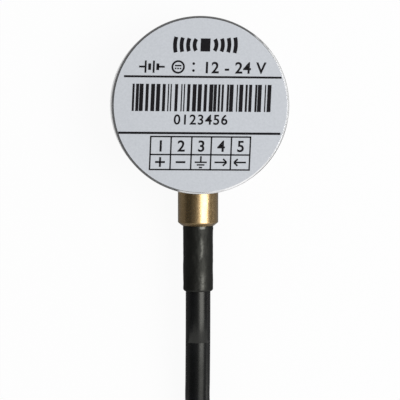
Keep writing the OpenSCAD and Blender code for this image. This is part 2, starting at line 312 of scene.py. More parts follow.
# %% Hank ties
def mesh_piece(name, points, faces, smooth=True):
    mesh = bpy.data.meshes.new(name)
    mesh.from_pydata([Vector(p) * MM for p in points], [], faces)
    mesh.validate()
    if smooth:
        mesh.shade_smooth()
    piece = bpy.data.objects.new(name, mesh)
    bpy.context.scene.collection.objects.link(piece)
    return piece


TIE_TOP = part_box("hank_ties")[1][2] / MM
STRAP_T = 0.85
STRAP_W = 3.2
STRAP_EDGE, HEAD_EDGE = 0.12, 0.3
HEAD_X, HEAD_Y = 2.3, 2.5  # half sizes of the locking head
SLOT_X, SLOT_Y = 1.0, 1.75  # half sizes of the slot in it
STUB_FROM, STUB_TO, STUB_Y = -0.9, -0.1, 1.6  # the cut tail that stands in the slot
HEAD_GAP = 0.1
CORNER_STEPS = 6
BUNDLE_W = 2 * CABLE_D + 0.1
BUNDLE_H = LAYERS * CABLE_D
TIE_Y = (NEAR_Y + FAR_Y) / 2


def strap_outline(offset):
    """Rounded rectangle round the bundle, in x and z, at a distance from it."""
    corner = CABLE_D / 2 + offset
    half_w, half_h = BUNDLE_W / 2 + offset, BUNDLE_H / 2 + offset
    points = []
    for quarter, (sx, sz) in enumerate(((1, 1), (-1, 1), (-1, -1), (1, -1))):
        for k in range(CORNER_STEPS + 1):
            a = math.pi / 2 * (quarter + k / CORNER_STEPS)
            points.append((sx * (half_w - corner) + corner * math.cos(a),
                           STRAP_T + BUNDLE_H / 2 + sz * (half_h - corner) + corner * math.sin(a)))
    return points


def box_faces(first):
    return [[first + i for i in f] for f in
            ((0, 1, 2, 3), (7, 6, 5, 4), (0, 4, 5, 1), (1, 5, 6, 2), (2, 6, 7, 3), (3, 7, 4, 0))]


def box_points(x0, y0, z0, x1, y1, z1):
    return [(x0, y0, z0), (x0, y1, z0), (x1, y1, z0), (x1, y0, z0),
            (x0, y0, z1), (x0, y1, z1), (x1, y1, z1), (x1, y0, z1)]


def hank_tie(name, mid_x):
    inner, outer = strap_outline(0.0), strap_outline(STRAP_T)
    points, faces = [], []
    for (xi, zi), (xo, zo) in zip(inner, outer):
        for y in (TIE_Y - STRAP_W / 2, TIE_Y + STRAP_W / 2):
            points += [(mid_x + xi, y, zi), (mid_x + xo, y, zo)]
    count = len(inner)
    for k in range(count):
        a, b = 4 * k, 4 * ((k + 1) % count)
        faces += [(a, b, b + 2, a + 2), (a + 3, b + 3, b + 1, a + 1)]
        faces += [(a + 1, b + 1, b, a), (a + 2, b + 2, b + 3, a + 3)]
    strap = mesh_piece(name + "_strap", points, faces)
    top = STRAP_T + BUNDLE_H
    points, faces = [], []
    blocks = [(-HEAD_X, -HEAD_Y, HEAD_X, -SLOT_Y, HEAD_GAP), (-HEAD_X, SLOT_Y, HEAD_X, HEAD_Y, HEAD_GAP),
              (-HEAD_X, -SLOT_Y, -SLOT_X, SLOT_Y, HEAD_GAP), (SLOT_X, -SLOT_Y, HEAD_X, SLOT_Y, HEAD_GAP),
              (STUB_FROM, -STUB_Y, STUB_TO, STUB_Y, 0.0)]
    for x0, y0, x1, y1, below in blocks:
        faces += box_faces(len(points))
        points += box_points(mid_x + x0, TIE_Y + y0, top + HEAD_GAP,
                             mid_x + x1, TIE_Y + y1, TIE_TOP - below)
    head = mesh_piece(name + "_head", points, faces, smooth=False)
    for piece, edge in ((strap, STRAP_EDGE), (head, HEAD_EDGE)):
        bevel = piece.modifiers.new("edges", "BEVEL")
        bevel.width = edge * MM
        bevel.segments = 2
        bevel.limit_method = "ANGLE"
        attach(piece, "root")
    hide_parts("hank_ties")
    return [strap, head]


ties = []
for side_name, side in (("left", -1), ("right", 1)):
    ties += hank_tie(side_name + "_tie", HANK_X + side * (FOLD_R + CABLE_D / 2))
print("tie pieces", [piece.name for piece in ties])

# %% [markdown]
# The black heat-shrink is a sleeve that was blown down over the cable with hot air. It never shrinks
# evenly: the wall undulates, and the end curls in to the jacket. It is modelled as rings of points
# whose radius follows a slow noise. Where the gun stayed longest the matt skin melted to a gloss, at
# the mouth, along one bowed streak and at the end, so each point also stores how glazed it is.

# %% Heat-shrink sleeve
sleeve_low, sleeve_high = [Vector(c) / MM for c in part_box("shrink_sleeve")]
SLEEVE_Z = (sleeve_low.z + sleeve_high.z) / 2
SLEEVE_R = (sleeve_high.x - sleeve_low.x) / 2
MOUTH_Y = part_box("cable_ferrule")[0][1] / MM
END_ROUND = 0.6
SLEEVE_SIDES = 72
WALL_RINGS, END_RINGS = 120, 10
MOUTH_FADE = 0.8  # length over which the sleeve comes free of the ferrule
RIPPLE, FINE_RIPPLE = 0.055, 0.03
SWELL, SWELL_FROM, SWELL_LEN = 0.06, 0.6, 0.5  # the bead that the hot mouth left
FREE_SHRINK = 0.02
LIP_T = 0.08  # what is left of the wall at the curled end
BORE_GAP = 0.01


def sleeve_radius(y, angle):
    """Outside radius in mm: tight inside the ferrule, uneven outside it, curled in at the end."""
    free = min(1.0, max(0.0, (MOUTH_Y - y) / MOUTH_FADE))
    spot = Vector((math.cos(angle) * 1.1, y / 3.6, math.sin(angle) * 1.1))
    ripple = RIPPLE * noise.noise(spot) + FINE_RIPPLE * noise.noise(spot * 2.9 + Vector((7, 3, 1)))
    swell = SWELL * math.exp(-((MOUTH_Y - SWELL_FROM - y) / SWELL_LEN) ** 2)
    radius = SLEEVE_R - FREE_SHRINK * free + free * (ripple + swell)
    from_end = y - sleeve_low.y
    if from_end < END_ROUND:
        curl = 1 - from_end / END_ROUND
        radius -= (SLEEVE_R - CABLE_D / 2 - LIP_T) * (1 - math.sqrt(max(0.0, 1 - curl * curl)))
    return radius


def bore_radius(y, angle):
    return CABLE_D / 2 + BORE_GAP


print("sleeve radius", round(SLEEVE_R, 2), "mm outside,", round(bore_radius(0, 0), 2), "mm inside")

# %% [markdown]
# The glaze could be painted on a picture, but then the sleeve would need unwrapping. A value at each
# point is simpler. It fades out from the middle of each streak, a slow noise makes the streak stray,
# and a fine one breaks it up.

# %% Glazed streaks
WANDER = 3.0  # degrees by which a streak strays to either side
GLAZES = [
    # from the mouth, angle round the cable, half length, half angle, bow in degrees, gloss
    (0.38, 79, 0.3, 13, 0.0, 1.0),
    (5.6, 86, 2.8, 5, 9.0, 0.5),
    (14.1, 77, 2.2, 10, 0.0, 0.42)]


def glaze(y, angle):
    """How glazed the skin is at a point, from 0 for matt to about 1, broken up by a fine grain."""
    amount = 0.0
    for offset, middle, half_length, half_angle, bow, gloss in GLAZES:
        along = (y - (MOUTH_Y - offset)) / half_length
        aside = math.degrees(angle) - middle + bow * (1 - along ** 2)
        aside += WANDER * noise.noise((1.0, 2.5 * y, offset))
        amount = max(amount, gloss * math.exp(-along ** 4 - (aside / half_angle) ** 2))
    grain = noise.noise((0.2 * math.degrees(angle), 3.0 * y, 5.0))
    return amount * (0.85 + 0.5 * grain)


print("glaze in the middle of each streak", [
    round(glaze(MOUTH_Y - offset, math.radians(middle - bow)), 2) for offset, middle, _, _, bow, _ in GLAZES])

# %% [markdown]
# The rings stand closer than the ripples, so that the skin can follow them, and they crowd at the curled
# end. Two last rings make the bore, which joins up with the first ring, so the sleeve is a closed tube.

# %% Sleeve mesh
wall_len = sleeve_high.y - sleeve_low.y - END_ROUND
stations = [sleeve_high.y - wall_len * k / WALL_RINGS for k in range(WALL_RINGS + 1)]
stations += [sleeve_low.y + END_ROUND * (1 - math.sin(math.pi / 2 * k / END_RINGS))
             for k in range(1, END_RINGS + 1)]
sleeve_rings = [(y, sleeve_radius) for y in stations]
sleeve_rings += [(y, bore_radius) for y in (sleeve_low.y, sleeve_high.y)]
sleeve_points, sleeve_faces, sleeve_glaze = [], [], []
for y, radius_at in sleeve_rings:
    for k in range(SLEEVE_SIDES):
        angle = 2 * math.pi * k / SLEEVE_SIDES
        radius = radius_at(y, angle)
        sleeve_points.append((radius * math.cos(angle), y, SLEEVE_Z + radius * math.sin(angle)))
        sleeve_glaze.append(glaze(y, angle))
point_count = len(sleeve_points)
for ring in range(len(sleeve_rings)):
    for k in range(SLEEVE_SIDES):
        a, b = ring * SLEEVE_SIDES + k, ring * SLEEVE_SIDES + (k + 1) % SLEEVE_SIDES
        sleeve_faces.append((a, b, (b + SLEEVE_SIDES) % point_count, (a + SLEEVE_SIDES) % point_count))
sleeve = mesh_piece("heat_shrink", sleeve_points, sleeve_faces)
sleeve.data.attributes.new("glaze", "FLOAT", "POINT").data.foreach_set("value", sleeve_glaze)
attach(sleeve, "root")
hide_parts("shrink_sleeve")
print("sleeve from", round(sleeve_high.y, 1), "to", round(sleeve_low.y, 1), "mm")

# %% [markdown]
# The label's print is ink on film. A picture laid on the film would blur close up, so each mark is a very
# thin closed prism instead, which stays sharp. Boxes, lines, arcs, discs and digits are enough.

# %% Label print
INK_BASE = LABEL_TOP / MM + 0.004
INK_T = 0.02
INK_SPREAD = 0.045  # how far a bar's ink runs past its edge
FONT_CAPITAL = 0.73  # height of a digit as a share of the font's size
ink_points, ink_faces = [], []


def ink_prism(outline):
    """A flat mark from its outline in mm, seen from above, counter-clockwise."""
    first, count = len(ink_points), len(outline)
    for z in (INK_BASE, INK_BASE + INK_T):
        ink_points.extend((x, y, z) for x, y in outline)
    ink_faces.append([first + k for k in reversed(range(count))])
    ink_faces.append([first + count + k for k in range(count)])
    for k in range(count):
        n = (k + 1) % count
        ink_faces.append([first + k, first + n, first + count + n, first + count + k])


def ink_box(x0, y0, x1, y1):
    ink_prism([(x0, y0), (x1, y0), (x1, y1), (x0, y1)])


def ink_line(x0, y0, x1, y1, width):
    way = Vector((x1 - x0, y1 - y0)).normalized() * width / 2
    ink_prism([(x0 + way.y, y0 - way.x), (x1 + way.y, y1 - way.x),
               (x1 - way.y, y1 + way.x), (x0 - way.y, y0 + way.x)])


def ink_arc(x, y, radius, width, start, stop, steps=16):
    for k in range(steps):
        a, b = [math.radians(start + (stop - start) * (k + e) / steps) for e in (0, 1)]
        near, far = radius - width / 2, radius + width / 2
        ink_prism([(x + r * math.cos(turn), y + r * math.sin(turn))
                   for r, turn in ((near, a), (far, a), (far, b), (near, b))])


def ink_disc(x, y, radius, steps=24):
    turns = [2 * math.pi * k / steps for k in range(steps)]
    ink_prism([(x + radius * math.cos(a), y + radius * math.sin(a)) for a in turns])


def ink_digits(digits, x, y, height, spacing, weight):
    """Plain digits in Blender's own font, centred at x with their feet at y."""
    words = bpy.data.curves.new("digits", "FONT")
    words.body = digits
    words.size = height / FONT_CAPITAL
    words.space_character = spacing
    words.align_x = "CENTER"
    words.offset = weight
    words.extrude = INK_T / 2
    writer = bpy.data.objects.new("digits", words)
    bpy.context.scene.collection.objects.link(writer)
    bpy.context.view_layer.update()
    drawn = writer.evaluated_get(bpy.context.evaluated_depsgraph_get())
    shape = bpy.data.meshes.new_from_object(drawn)
    first = len(ink_points)
    ink_points.extend((x + v.co.x, y + v.co.y, INK_BASE + INK_T / 2 + v.co.z) for v in shape.vertices)
    ink_faces.extend([first + i for i in face.vertices] for face in shape.polygons)
    bpy.data.objects.remove(writer)
    bpy.data.curves.remove(words)
    bpy.data.meshes.remove(shape)


print("ink from", round(INK_BASE, 3), "mm, thickness", INK_T, "mm")

# %% [markdown]
# The signs are those of such a label: sound waves, the supply, a bar pattern with its digits, and a
# wiring table. All of them are generic: plain numbers, circuit signs, and bars made by a formula.

# %% Label signs
DIGIT_WEIGHT = 0.075  # how much bolder than the font the digits are drawn
FINE_STROKE = 0.36


def sound_sign(x, y):
    """A transducer block that sends widening wave arcs both ways."""
    stroke = 0.95
    ink_box(x - 1.2, y - 1.6, x + 1.2, y + 1.6)
    for radius in (2.7, 4.3, 5.9, 7.5):
        half_height = 1.15 + 0.1 * radius
        reach = math.degrees(math.asin(half_height / radius))
        for middle in (0, 180):
            ink_arc(x, y, radius, stroke, middle - reach, middle + reach)


def supply_signs(x, y):
    """A battery, the direct-current sign in a ring, and a plain voltage range, from the battery's end."""
    stroke, digit_height = 0.46, 2.84
    ink_line(x, y, x + 1.4, y, stroke)
    for cell in (1.6, 3.6):
        ink_box(x + cell - stroke / 2, y - 1.5, x + cell + stroke / 2, y + 1.5)
        ink_box(x + cell + 0.65, y - 0.8, x + cell + 1.35, y + 0.8)
    ink_line(x + 4.7, y, x + 6.3, y, stroke)
    ring_x = x + 9.6
    ink_arc(ring_x, y, 1.42, stroke, 0, 360, 32)
    ink_line(ring_x - 0.8, y + 0.32, ring_x + 0.8, y + 0.32, FINE_STROKE)
    for k in range(3):
        ink_line(ring_x - 0.8 + 0.6 * k, y - 0.38, ring_x - 0.4 + 0.6 * k, y - 0.38, FINE_STROKE)
    for dot in (-0.85, 0.85):
        ink_disc(x + 13.4, y + dot, 0.33)
    ink_digits("12 - 24 V", x + 23.5, y - digit_height / 2, digit_height, 1.06, DIGIT_WEIGHT)


def bar_pattern(x0, x1, y0, y1):
    """Bars and gaps of one to four modules, from a short sum, so that they stand for no number."""
    widths = [1 + (5 * k * k + 3 * k + 17) % 61 // 16 for k in range(59)]
    module = (x1 - x0) / sum(widths)
    x = x0
    for k, width in enumerate(widths):
        if k % 2 == 0:
            ink_box(x - INK_SPREAD, y0, x + width * module + INK_SPREAD, y1)
        x += width * module


def wiring_table(columns, rows):
    """A ruled table: numbers above, and plus, minus, earth, out and in below."""
    for x in columns:
        ink_line(x, rows[-1], x, rows[0], FINE_STROKE)
    for y in rows:
        ink_line(columns[0] - FINE_STROKE / 2, y, columns[-1] + FINE_STROKE / 2, y, FINE_STROKE)
    mids = [(a + b) / 2 for a, b in zip(columns, columns[1:])]
    digit_height, bold, thin = 2.8, 0.48, 0.4
    for number, x in enumerate(mids):
        ink_digits(str(number + 1), x, (rows[0] + rows[1]) / 2 - digit_height / 2, digit_height, 1.0,
                   DIGIT_WEIGHT)
    y = (rows[1] + rows[2]) / 2
    plus, minus, earth, way_out, way_in = mids
    ink_line(plus - 1.2, y, plus + 1.2, y, bold)
    ink_line(plus, y - 1.2, plus, y + 1.2, bold)
    ink_line(minus - 1.2, y, minus + 1.2, y, bold)
    ink_line(earth, y, earth, y + 1.5, thin)
    for step, half in enumerate((1.5, 0.95, 0.4)):
        ink_line(earth - half, y - 0.65 * step, earth + half, y - 0.65 * step, FINE_STROKE)
    for x, way in ((way_out, 1), (way_in, -1)):
        ink_line(x - 1.5, y, x + 1.5, y, thin)
        for side in (-1, 1):
            ink_line(x + way * 1.5, y, x + way * 0.6, y + side * 0.85, thin)


print("label signs ready")

# %% [markdown]
# The layout is in mm from the label's centre. The print is a little askew on the film, as such labels
# often are, so a small turn and a slight lean are laid over all of it.

# %% Label layout
SIGN_AT = (0.5, 14.85)
SUPPLY_AT = (-15.6, 9.4)
UPPER_RULE = (-19.2, 7.0, 19.7, 7.0, 0.5)
LOWER_RULE = (-20.05, -6.85, 20.05, -6.85, 0.56)
BARS = (-16.95, 17.25, -1.5, 5.2)
COUNT_AT = (0.12, -4.67)
COUNT_H, COUNT_SPACING, COUNT_WEIGHT = 2.5, 0.79, 0.06
TABLE_COLUMNS = [-12.0, -6.95, -1.86, 3.01, 7.97, 12.67]
TABLE_ROWS = [-7.72, -12.15, -15.85]
sound_sign(*SIGN_AT)
supply_signs(*SUPPLY_AT)
ink_line(*UPPER_RULE)
bar_pattern(*BARS)
ink_digits("0 1 2 3 4 5 6", *COUNT_AT, COUNT_H, COUNT_SPACING, COUNT_WEIGHT)
ink_line(*LOWER_RULE)
wiring_table(TABLE_COLUMNS, TABLE_ROWS)
PRINT_TURN = Matrix.Rotation(math.radians(-0.5), 3, "Z")
PRINT_LEAN = Matrix(((1.0, 0.035, 0.0), (0.0, 1.0, 0.0), (0.0, 0.0, 1.0)))
printed = [PRINT_TURN @ PRINT_LEAN @ Vector(p) for p in ink_points]
print_piece = mesh_piece("label_print", printed, ink_faces, smooth=False)
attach(print_piece, "root")
print("print faces", len(ink_faces))

# %% [markdown]
# A finish is one Principled shader. No real surface is even, so its inputs follow patterns: a mottled
# colour, an uneven polish and a fine relief. A picture of the surface would do this too, but noise needs
# no unwrapping and its grain is set in mm, so that it fits the object.

# %% Pattern helpers
PLASTIC_IOR = 1.5
TONE_STOPS = (0.3, 0.7)  # where in the noise the darker and the paler tone are reached


def speckle(tree, size_mm, detail=3.0, rough=0.55):
    """Noise from 0 to 1 with a grain of the given size."""
    coordinates = add(tree, "ShaderNodeTexCoord").outputs["Object"]
    pattern = add(tree, "ShaderNodeTexNoise", {"Vector": coordinates, "Scale": per_mm(size_mm),
                                               "Detail": detail, "Roughness": rough})
    return pattern.outputs["Fac"]


def mottled(tree, size_mm, low, high, detail=3.0, rough=0.55):
    """A colour that wanders between two tones."""
    ramp = add(tree, "ShaderNodeValToRGB", {"Fac": speckle(tree, size_mm, detail, rough)})
    for stop, position, tone in zip(ramp.color_ramp.elements, TONE_STOPS, (low, high)):
        stop.position = position
        stop.color = linear(tone)
    return ramp.outputs["Color"]


def uneven(tree, size_mm, low, high, detail=3.0):
    """A value that wanders between two limits."""
    pattern = speckle(tree, size_mm, detail)
    span = add(tree, "ShaderNodeMapRange", {"Value": pattern, "To Min": low, "To Max": high})
    return span.outputs["Result"]


def relief(tree, size_mm, strength, depth_mm, detail=3.0):
    """A bumpy surface with a grain of the given size and depth."""
    height = speckle(tree, size_mm, detail)
    bumps = add(tree, "ShaderNodeBump", {"Height": height, "Strength": strength, "Distance": depth_mm * MM})
    return bumps.outputs["Normal"]


def surface(tree, inputs):
    shader = add(tree, "ShaderNodeBsdfPrincipled", inputs)
    add(tree, "ShaderNodeOutputMaterial", {"Surface": shader.outputs["BSDF"]})


print("a 2 mm grain has scale", per_mm(2.0))

# %% [markdown]
# **Turned aluminium.** The cup is turned on a lathe. Its wall is left satin, and the chamfer round its
# back is cut bright with a last pass. The two are told apart by the surface normal, which is level on the
# wall and points up on the chamfer. The tool leaves fine rings, which break up reflections. The real feed
# is about 0.1 mm, too fine to show, so the rings are drawn 2.2 mm apart. Rings on the wall follow the
# height and rings on the ends follow the radius.

# %% Turned aluminium
RING_PITCH = 2.2
WAVES_PER_UNIT = 20 / (2 * math.pi)  # how often Blender's wave texture repeats at scale 1


def lathe_rings(tree):
    coordinates = add(tree, "ShaderNodeTexCoord").outputs["Object"]
    scale = per_mm(RING_PITCH) / WAVES_PER_UNIT
    along = add(tree, "ShaderNodeTexWave", {"Vector": coordinates, "Scale": scale, "Distortion": 0.6,
                                            "Detail": 2.0, "Detail Scale": 3.0},
                wave_type="BANDS", bands_direction="Z")
    around = add(tree, "ShaderNodeTexWave", {"Vector": coordinates, "Scale": scale, "Distortion": 0.4,
                                             "Detail": 2.0, "Detail Scale": 3.0},
                 wave_type="RINGS", rings_direction="Z")
    both = add(tree, "ShaderNodeMath", {0: along.outputs["Fac"], 1: around.outputs["Fac"]}, operation="ADD")
    return both.outputs[0]


SATIN = 0.4
RING_DEPTH = 0.02
turned_aluminium, tree = new_material("turned_aluminium")
normal = add(tree, "ShaderNodeNewGeometry").outputs["Normal"]
upward = add(tree, "ShaderNodeSeparateXYZ", {"Vector": normal}).outputs["Z"]
bright_cut = uneven(tree, 1.2, 0.1, 0.2)
satin_to_bright = add(tree, "ShaderNodeMapRange", {"Value": upward, "From Min": 0.05, "From Max": 0.3,
                                                   "To Min": SATIN, "To Max": bright_cut})
tool_marks = add(tree, "ShaderNodeBump", {"Height": lathe_rings(tree), "Strength": 0.12,
                                          "Distance": RING_DEPTH * MM})
surface(tree, {
    "Base Color": mottled(tree, 9.0, "#ECEDEE", "#F6F6F7"),
    "Metallic": 1.0,
    "Roughness": satin_to_bright.outputs["Result"],
    "Normal": tool_marks.outputs["Normal"]})
print("finish", turned_aluminium.name)

# %% [markdown]
# **Printed polyester film.** The label is a silver-grey matt film with a fine pearl grain. It looks
# almost flat, so the grain only shifts its shade a little. The ink is screen printed: dense, a bit
# uneven and duller than the film.

# %% Label film and ink
label_film, tree = new_material("printed_polyester_film")
surface(tree, {
    "Base Color": mottled(tree, 0.5, "#C5C9CF", "#D0D4DA", 4.0, 0.7),
    "Roughness": uneven(tree, 3.0, 0.42, 0.5),
    "IOR": PLASTIC_IOR,
    "Normal": relief(tree, 0.35, 0.08, 0.02)})
screen_ink, tree = new_material("screen_printed_ink")
surface(tree, {
    "Base Color": mottled(tree, 0.45, "#0B090D", "#141117"),
    "Roughness": uneven(tree, 1.0, 0.45, 0.6),
    "Specular IOR Level": 0.15})
print("finishes", label_film.name, screen_ink.name)

# %% [markdown]
# **Turned brass.** The outlet is turned from bar and lacquered. Its gold tone is broken by a light
# tarnish, and a fine grain makes the edge of its bright stripe sparkle. The clear coat pales the stripe.

# %% Turned brass
turned_brass, tree = new_material("turned_brass")
surface(tree, {
    "Base Color": mottled(tree, 1.4, "#C6A572", "#DFBF8B", 6.0, 0.65),
    "Metallic": 1.0,
    "Roughness": uneven(tree, 0.5, 0.21, 0.36, 4.0),
    "Coat Weight": 1.0,
    "Coat Roughness": 0.2,
    "Normal": relief(tree, 0.4, 0.5, 0.05, 2.0)})
print("finish", turned_brass.name)

# %% [markdown]
# **Polyolefin heat-shrink** comes out of the hot air matt and faintly puckered, but glossy where it
# was glazed. There the roughness falls and the IOR rises past that of the plain plastic, because a
# glazed skin mirrors the lamp more strongly. **PVC jacket** is extruded: satin black, with a slow
# unevenness that makes its highlight wander. Both throw back a faintly warm highlight.

# %% Black sleeve and jacket
SLOW_SHARE = 3.4  # how much deeper the slow puckers are than the fine ones
PUCKER_DEPTH = 0.12
GLAZED_ROUGHNESS = 0.14
GLAZED_IOR = 1.95
shrunk_polyolefin, tree = new_material("shrunk_polyolefin")
slow_pucker = speckle(tree, 4.5, 2.0)
fine_pucker = speckle(tree, 1.1, 2.5, 0.5)
creases = add(tree, "ShaderNodeMath", {0: slow_pucker, 1: SLOW_SHARE, 2: fine_pucker},
              operation="MULTIPLY_ADD")
skin = add(tree, "ShaderNodeBump", {"Height": creases.outputs[0], "Strength": 1.0,
                                    "Distance": PUCKER_DEPTH * MM})
glazed = add(tree, "ShaderNodeAttribute", attribute_name="glaze").outputs["Fac"]
matt = uneven(tree, 3.0, 0.44, 0.6)
matt_to_gloss = add(tree, "ShaderNodeMapRange", {"Value": glazed, "From Max": 0.6, "To Min": matt,
                                                 "To Max": GLAZED_ROUGHNESS})
mirroring = add(tree, "ShaderNodeMapRange", {"Value": glazed, "To Min": PLASTIC_IOR, "To Max": GLAZED_IOR})
surface(tree, {
    "Base Color": mottled(tree, 2.0, "#090A0A", "#101111"),
    "Roughness": matt_to_gloss.outputs["Result"],
    "IOR": mirroring.outputs["Result"],
    "Specular Tint": linear("#FFFFF2"),
    "Normal": skin.outputs["Normal"]})
extruded_pvc, tree = new_material("extruded_black_pvc")
surface(tree, {
    "Base Color": mottled(tree, 3.0, "#0A0B0D", "#111215"),
    "Roughness": uneven(tree, 4.0, 0.22, 0.32),
    "IOR": PLASTIC_IOR,
    "Specular Tint": linear("#FFFFF5"),
    "Normal": relief(tree, 3.2, 0.4, 0.09, 2.0)})
print("finishes", shrunk_polyolefin.name, extruded_pvc.name)

# %% [markdown]
# The remaining finishes follow one recipe with their own colours and grain: coloured PVC on the
# cores, nylon ties, tinned copper, and the sealed parts inside the housing, which only a cut-away shows.

# %% Other finishes
WEAR = 0.06
GRAIN_DEPTH = 0.03


def plain_finish(name, low, high, metallic, roughness, grain_mm, bump_strength):
    material, tree = new_material(name)
    inputs = {
        "Base Color": mottled(tree, grain_mm, low, high),
        "Metallic": metallic,
        "Roughness": uneven(tree, grain_mm * 2, roughness - WEAR, roughness + WEAR),
        "Normal": relief(tree, grain_mm, bump_strength, GRAIN_DEPTH)}
    if not metallic:
        inputs["IOR"] = PLASTIC_IOR
    surface(tree, inputs)
    return material


finishes = {
    "housing_aluminium": turned_aluminium, "label_film": label_film, "ferrule_brass": turned_brass,
    "sleeve_polyolefin": shrunk_polyolefin, "cable_jacket_pvc": extruded_pvc,
    "window_resin": plain_finish("ground_glass_epoxy", "#292C2A", "#353936", 0.0, 0.5, 0.6, 0.2),
    "piezo_ceramic": plain_finish("silvered_piezo_ceramic", "#B5A67E", "#C9BC98", 0.0, 0.6, 0.4, 0.15),
    "backing_composite": plain_finish("tungsten_filled_epoxy", "#33291F", "#463B31", 0.0, 0.7, 0.5, 0.4),
    "nitrile_rubber": plain_finish("moulded_nitrile", "#141414", "#1D1D1D", 0.0, 0.65, 0.8, 0.2),
    "potting_resin": plain_finish("poured_epoxy", "#121414", "#1A1D1D", 0.0, 0.2, 4.0, 0.1),
    "spacer_acetal": plain_finish("turned_acetal", "#E0DDD0", "#EBE9DE", 0.0, 0.42, 1.0, 0.1),
    "board_fibreglass": plain_finish("solder_masked_fibreglass", "#0C4A22", "#14602F", 0.0, 0.35, 0.7, 0.15),
    "chip_epoxy": plain_finish("moulded_chip_epoxy", "#161617", "#202022", 0.0, 0.6, 0.2, 0.2),
    "crystal_can": plain_finish("drawn_nickel_silver", "#BDBCB6", "#CFCEC9", 1.0, 0.3, 0.5, 0.1),
    "passive_ceramic": plain_finish("fired_capacitor_ceramic", "#8A7050", "#A48B6A", 0.0, 0.45, 0.2, 0.1),
    "ferrite": plain_finish("sintered_ferrite", "#282829", "#363638", 0.0, 0.65, 0.3, 0.25),
    "capacitor_can": plain_finish("drawn_aluminium_can", "#C4C5C7", "#D6D7D9", 1.0, 0.28, 0.6, 0.1),
    "solder_tin": plain_finish("tinned_copper", "#C4C1BA", "#DAD8D2", 1.0, 0.26, 0.3, 0.15),
    "silicone_lead": plain_finish("red_silicone", "#8E1712", "#A8221A", 0.0, 0.5, 0.5, 0.15),
    "tie_nylon": plain_finish("moulded_nylon", "#E4E3DB", "#F0EFE9", 0.0, 0.38, 1.2, 0.12),
    "red_pvc": plain_finish("red_core_pvc", "#A8110F", "#BE1C17", 0.0, 0.36, 1.2, 0.12),
    "black_pvc": plain_finish("black_core_pvc", "#131315", "#1E1E20", 0.0, 0.36, 1.2, 0.12),
    "brown_pvc": plain_finish("brown_core_pvc", "#51290F", "#653717", 0.0, 0.36, 1.2, 0.12),
    "yellow_pvc": plain_finish("yellow_core_pvc", "#D9A90A", "#EABC1C", 0.0, 0.36, 1.2, 0.12),
    "blue_pvc": plain_finish("blue_core_pvc", "#103B8F", "#1A4CA8", 0.0, 0.36, 1.2, 0.12),
}
print("finishes", len(finishes))

# %% [markdown]
# Each CAD piece wears the finish that its record names, and the pieces built above wear theirs. A turned
# edge is never perfectly sharp, so the housing and the ferrule also get a fine bevel. It works only
# after a weld, because the CAD meshes arrive with their faces apart at sharp edges.

# %% Dress every piece
TURNED_EDGES = {"cable_ferrule": 0.12, "housing": 0.09}
SHARP_ANGLE = 28
WELD_REACH = 0.001


def dress(piece, material):
    piece.data.materials.clear()
    piece.data.materials.append(material)


for part in frame["record"]["subparts"]:
    dress(frame["nodes"][part["node"]], finishes[part["material_slot"]])
for piece, slot_name in [(cable, "cable_jacket_pvc"), (sleeve, "sleeve_polyolefin"), (tips, "solder_tin")]:
    dress(piece, finishes[slot_name])
for core, name in zip(cores, CORE_NAMES):
    dress(core, finishes[name + "_pvc"])
for piece in ties:
    dress(piece, finishes["tie_nylon"])
dress(print_piece, screen_ink)
for node, width in TURNED_EDGES.items():
    turned = frame["nodes"][node]
    joined = turned.modifiers.new("joined_faces", "WELD")
    joined.merge_threshold = WELD_REACH * MM
    edges = turned.modifiers.new("broken_edges", "BEVEL")
    edges.width = width * MM
    edges.segments = 3
    edges.limit_method = "ANGLE"
    edges.angle_limit = math.radians(SHARP_ANGLE)
    edges.use_clamp_overlap = False
    shading = turned.modifiers.new("even_shading", "WEIGHTED_NORMAL")
    shading.weight = 50

# %% [markdown]
# The studio is a white floor in a white room. Rays from the camera, from a reflection or through glass
# see both as white, which gives a clean background. A small share of the floor stays paper for them too,
# so that it keeps a faint shadow. All other rays see the paper and a dimmer room, which give a soft
# light. One large softbox on the right makes the bright stripe on the brass and the cable. Lengths in
# the studio are in metres.

# %% Floor, room and softbox
WHITE = (1.0, 1.0, 1.0, 1.0)
HALF_FLOOR = 6.0
PLAIN_WHITE = 0.93
ROOM_LEVEL = 0.56


def stage_piece(name, points, faces):
    piece = mesh_piece(name, [Vector(p) / MM for p in points], faces, smooth=False)
    return piece


def seen_white(tree):
    """1 for rays that should see a plain white room: from the camera, a reflection or through glass."""
    rays = add(tree, "ShaderNodeLightPath").outputs
    seen = rays["Is Camera Ray"]
    for kind in ("Is Glossy Ray", "Is Transmission Ray"):
        seen = add(tree, "ShaderNodeMath", {0: seen, 1: rays[kind]}, operation="MAXIMUM").outputs[0]
    return seen


floor_corners = [(x * HALF_FLOOR, y * HALF_FLOOR, 0.0) for x, y in ((-1, -1), (1, -1), (1, 1), (-1, 1))]
floor = stage_piece("studio_floor", floor_corners, [(0, 1, 2, 3)])
white_floor, tree = new_material("white_paper_floor")
paper = add(tree, "ShaderNodeBsdfDiffuse", {"Color": linear("#F4F4F4")}).outputs["BSDF"]
glow = add(tree, "ShaderNodeEmission", {"Color": WHITE, "Strength": 1.0}).outputs["Emission"]
share = add(tree, "ShaderNodeMath", {0: seen_white(tree), 1: PLAIN_WHITE}, operation="MULTIPLY").outputs[0]
floor_mix = add(tree, "ShaderNodeMixShader", {0: share, 1: paper, 2: glow})
add(tree, "ShaderNodeOutputMaterial", {"Surface": floor_mix.outputs["Shader"]})
dress(floor, white_floor)

world = bpy.data.worlds.new("white_room")
world.use_nodes = True
bpy.context.scene.world = world
tree = world.node_tree
tree.nodes.clear()
level = add(tree, "ShaderNodeMapRange", {"Value": seen_white(tree), "To Min": ROOM_LEVEL, "To Max": 1.0})
room = add(tree, "ShaderNodeBackground", {"Color": WHITE, "Strength": level.outputs["Result"]})
add(tree, "ShaderNodeOutputWorld", {"Surface": room.outputs["Background"]})


